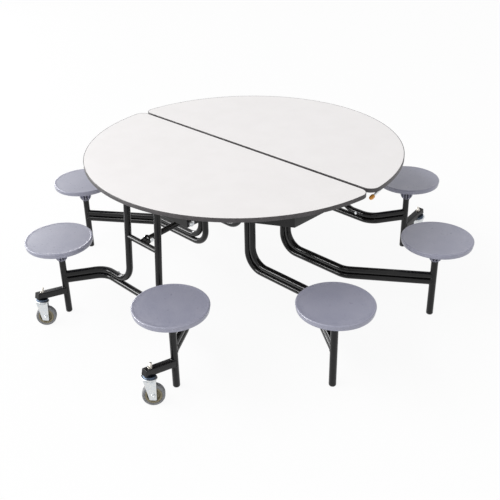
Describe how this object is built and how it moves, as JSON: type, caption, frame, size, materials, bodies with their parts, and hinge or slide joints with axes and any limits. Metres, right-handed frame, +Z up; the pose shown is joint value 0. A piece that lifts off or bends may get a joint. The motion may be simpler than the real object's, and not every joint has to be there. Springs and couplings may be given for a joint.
{
  "type": "folding cafeteria table",
  "caption": "Round two-part folding table with swivel stools on bent-tube arms, casters on the outer frames and a centre that rises to fold.",
  "frame": {"origin": "on the floor under the middle of the top", "axes": "+Z up, X along the split and the hinge rods, near half on the -Y side"},
  "size_m": [2.073, 2.0126, 0.737],
  "materials": {
    "laminate": "matt white laminate",
    "edge_vinyl": "charcoal vinyl edge band",
    "black_powder_coat": "gloss black powder coat",
    "zinc": "bright zinc plate",
    "seat_plastic": "speckled blue-grey moulded plastic",
    "glide_plastic": "black plastic",
    "dark_steel": "dark oiled steel",
    "tread_rubber": "grey non-marking tread",
    "wheel_core": "olive moulded plastic",
    "orange_grip": "orange soft vinyl"
  },
  "bodies": {
    "near_leg_frame": {"near_leg_tubes": "black_powder_coat", "near_lower_tube": "black_powder_coat", "near_posts": "black_powder_coat", "near_crossbar": "black_powder_coat", "near_frame_bolts": "zinc", "near_caster_arms": "black_powder_coat", "near_caster_stems": "zinc", "near_glides": "glide_plastic", "near_seat_spindles": "dark_steel"},
    "near_half": {"near_top_panel": "laminate", "near_edge_band": "edge_vinyl", "near_chassis": "black_powder_coat", "near_wing_rails": "black_powder_coat", "near_chassis_hardware": "zinc"},
    "centre_frame": {"centre_outer_loops": "black_powder_coat", "centre_inner_loops": "black_powder_coat", "centre_posts": "black_powder_coat", "centre_head_plates": "black_powder_coat", "centre_hinge_rods": "zinc", "centre_crossbars": "black_powder_coat", "centre_glides": "glide_plastic", "centre_seat_spindles": "dark_steel"},
    "far_half": {"far_top_panel": "laminate", "far_edge_band": "edge_vinyl", "far_chassis": "black_powder_coat", "far_wing_rails": "black_powder_coat", "far_chassis_hardware": "zinc"},
    "far_leg_frame": {"far_leg_tubes": "black_powder_coat", "far_lower_tube": "black_powder_coat", "far_posts": "black_powder_coat", "far_crossbar": "black_powder_coat", "far_frame_bolts": "zinc", "far_caster_arms": "black_powder_coat", "far_caster_stems": "zinc", "far_glides": "glide_plastic", "far_seat_spindles": "dark_steel"},
    "near_link_bar": {"near_link": "black_powder_coat"},
    "far_link_bar": {"far_link": "black_powder_coat"},
    "lever": {"release_lever": "black_powder_coat", "lever_grip": "orange_grip"},
    "seat_near_left_top": {"seat_near_left": "seat_plastic"},
    "seat_near_right_top": {"seat_near_right": "seat_plastic"},
    "seat_far_left_top": {"seat_far_left": "seat_plastic"},
    "seat_far_right_top": {"seat_far_right": "seat_plastic"},
    "seat_left_near_top": {"seat_left_near": "seat_plastic"},
    "seat_right_near_top": {"seat_right_near": "seat_plastic"},
    "seat_left_far_top": {"seat_left_far": "seat_plastic"},
    "seat_right_far_top": {"seat_right_far": "seat_plastic"},
    "fork_near_left": {"caster_fork_near_left": "zinc"},
    "wheel_near_left": {"caster_tread_near_left": "tread_rubber", "caster_core_near_left": "wheel_core"},
    "fork_near_right": {"caster_fork_near_right": "zinc"},
    "wheel_near_right": {"caster_tread_near_right": "tread_rubber", "caster_core_near_right": "wheel_core"},
    "fork_far_right": {"caster_fork_far_right": "zinc"},
    "wheel_far_right": {"caster_tread_far_right": "tread_rubber", "caster_core_far_right": "wheel_core"},
    "fork_far_left": {"caster_fork_far_left": "zinc"},
    "wheel_far_left": {"caster_tread_far_left": "tread_rubber", "caster_core_far_left": "wheel_core"}
  },
  "joints": [
    {"name": "near_fold", "type": "hinge", "parent": "near_leg_frame", "child": "near_half", "pos_m": [0, -0.627, 0.675], "axis": [1, 0, 0], "range_deg": [0, 80]},
    {"name": "centre_fold", "type": "hinge", "parent": "near_half", "child": "centre_frame", "pos_m": [0, -0.127, 0.704], "axis": [1, 0, 0], "range_deg": [-80, 0]},
    {"name": "far_fold", "type": "hinge", "parent": "centre_frame", "child": "far_half", "pos_m": [0, 0.127, 0.704], "axis": [1, 0, 0], "range_deg": [-80, 0]},
    {"name": "far_leg_fold", "type": "hinge", "parent": "far_half", "child": "far_leg_frame", "pos_m": [0, 0.627, 0.675], "axis": [1, 0, 0], "range_deg": [0, 80]},
    {"name": "near_link_swing", "type": "hinge", "parent": "near_leg_frame", "child": "near_link_bar", "pos_m": [0, -0.603, 0.472], "axis": [1, 0, 0], "range_deg": [0, 80]},
    {"name": "far_link_swing", "type": "hinge", "parent": "far_leg_frame", "child": "far_link_bar", "pos_m": [0, 0.603, 0.472], "axis": [1, 0, 0], "range_deg": [-80, 0]},
    {"name": "seat_near_left_swivel", "type": "hinge", "parent": "near_leg_frame", "child": "seat_near_left_top", "pos_m": [-0.408, -0.8275, 0.38], "axis": [0, 0, 1], "continuous": true},
    {"name": "seat_near_right_swivel", "type": "hinge", "parent": "near_leg_frame", "child": "seat_near_right_top", "pos_m": [0.408, -0.8275, 0.38], "axis": [0, 0, 1], "continuous": true},
    {"name": "seat_far_left_swivel", "type": "hinge", "parent": "far_leg_frame", "child": "seat_far_left_top", "pos_m": [-0.408, 0.8275, 0.38], "axis": [0, 0, 1], "continuous": true},
    {"name": "seat_far_right_swivel", "type": "hinge", "parent": "far_leg_frame", "child": "seat_far_right_top", "pos_m": [0.408, 0.8275, 0.38], "axis": [0, 0, 1], "continuous": true},
    {"name": "seat_left_near_swivel", "type": "hinge", "parent": "centre_frame", "child": "seat_left_near_top", "pos_m": [-0.876, -0.365, 0.38], "axis": [0, 0, 1], "continuous": true},
    {"name": "seat_right_near_swivel", "type": "hinge", "parent": "centre_frame", "child": "seat_right_near_top", "pos_m": [0.876, -0.365, 0.38], "axis": [0, 0, 1], "continuous": true},
    {"name": "seat_left_far_swivel", "type": "hinge", "parent": "centre_frame", "child": "seat_left_far_top", "pos_m": [-0.876, 0.365, 0.38], "axis": [0, 0, 1], "continuous": true},
    {"name": "seat_right_far_swivel", "type": "hinge", "parent": "centre_frame", "child": "seat_right_far_top", "pos_m": [0.876, 0.365, 0.38], "axis": [0, 0, 1], "continuous": true},
    {"name": "caster_near_left_swivel", "type": "hinge", "parent": "near_leg_frame", "child": "fork_near_left", "pos_m": [-0.408, -0.9633, 0.13864], "axis": [0, 0.2079, 0.9781], "continuous": true},
    {"name": "wheel_near_left_spin", "type": "hinge", "parent": "fork_near_left", "child": "wheel_near_left", "pos_m": [-0.39129, -0.96203, 0.04883], "axis": [-0.766, 0.6287, -0.1336], "continuous": true},
    {"name": "caster_near_right_swivel", "type": "hinge", "parent": "near_leg_frame", "child": "fork_near_right", "pos_m": [0.408, -0.9633, 0.13864], "axis": [0, 0.2079, 0.9781], "continuous": true},
    {"name": "wheel_near_right_spin", "type": "hinge", "parent": "fork_near_right", "child": "wheel_near_right", "pos_m": [0.42471, -0.96203, 0.04883], "axis": [-0.766, 0.6287, -0.1336], "continuous": true},
    {"name": "caster_far_right_swivel", "type": "hinge", "parent": "far_leg_frame", "child": "fork_far_right", "pos_m": [0.408, 0.9633, 0.13864], "axis": [0, -0.2079, 0.9781], "continuous": true},
    {"name": "wheel_far_right_spin", "type": "hinge", "parent": "fork_far_right", "child": "wheel_far_right", "pos_m": [0.39129, 0.96203, 0.04883], "axis": [0.766, -0.6287, -0.1336], "continuous": true},
    {"name": "caster_far_left_swivel", "type": "hinge", "parent": "far_leg_frame", "child": "fork_far_left", "pos_m": [-0.408, 0.9633, 0.13864], "axis": [0, -0.2079, 0.9781], "continuous": true},
    {"name": "wheel_far_left_spin", "type": "hinge", "parent": "fork_far_left", "child": "wheel_far_left", "pos_m": [-0.42471, 0.96203, 0.04883], "axis": [0.766, -0.6287, -0.1336], "continuous": true},
    {"name": "lever_press", "type": "hinge", "parent": "far_half", "child": "lever", "pos_m": [0.6, 0.2, 0.69], "axis": [1, 0, 0], "range_deg": [0, 20], "stiffness_Nm_per_rad": 0.6, "springref_deg": -20.05}
  ],
  "couplings": [
    {"joint": "centre_fold", "follows": "near_fold", "ratio": -1},
    {"joint": "far_fold", "follows": "near_fold", "ratio": -1},
    {"joint": "far_leg_fold", "follows": "near_fold", "ratio": 1},
    {"joint": "near_link_swing", "follows": "near_fold", "ratio": 1},
    {"joint": "far_link_swing", "follows": "near_fold", "ratio": -1}
  ]
}
